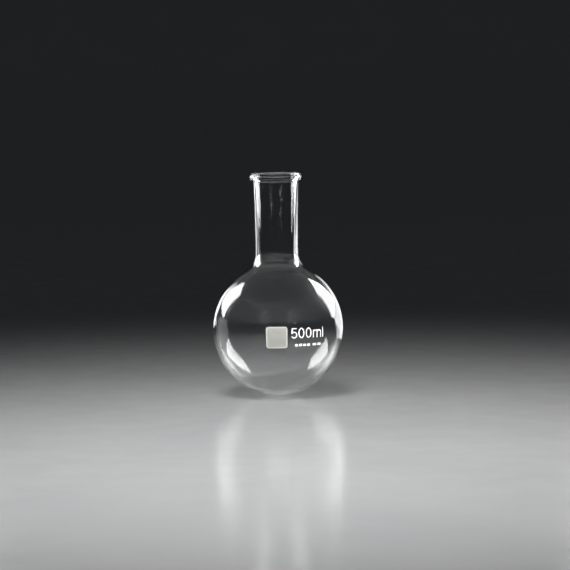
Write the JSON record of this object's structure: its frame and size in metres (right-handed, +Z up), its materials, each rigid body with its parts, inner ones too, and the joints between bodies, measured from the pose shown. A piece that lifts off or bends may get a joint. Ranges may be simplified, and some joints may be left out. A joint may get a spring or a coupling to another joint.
{
  "type": "round bottom flask",
  "caption": "Blown glass boiling flask with a round bottom, a straight narrow neck and a beaded rim, marked with fired enamel.",
  "frame": {"origin": "lowest point of the globe, on the axis of the neck", "axes": "+Z up the axis of the neck, out of the mouth; the enamel faces -Y"},
  "size_m": [0.1048, 0.1053, 0.18],
  "materials": {
    "glass": "clear, fire polished",
    "patch_enamel": "matte, slightly rough, to write on in pencil",
    "print_enamel": "satin white enamel"
  },
  "bodies": {
    "root": {"glass_vessel": "glass", "writing_patch": "patch_enamel", "capacity_figure_1": "print_enamel", "capacity_figure_2": "print_enamel", "capacity_figure_3": "print_enamel", "capacity_unit_m": "print_enamel", "capacity_unit_l": "print_enamel", "enamel_bar_1": "print_enamel", "enamel_bar_2": "print_enamel", "enamel_bar_3": "print_enamel", "enamel_bar_4": "print_enamel", "enamel_bar_5": "print_enamel", "enamel_bar_6": "print_enamel"}
  },
  "joints": []
}
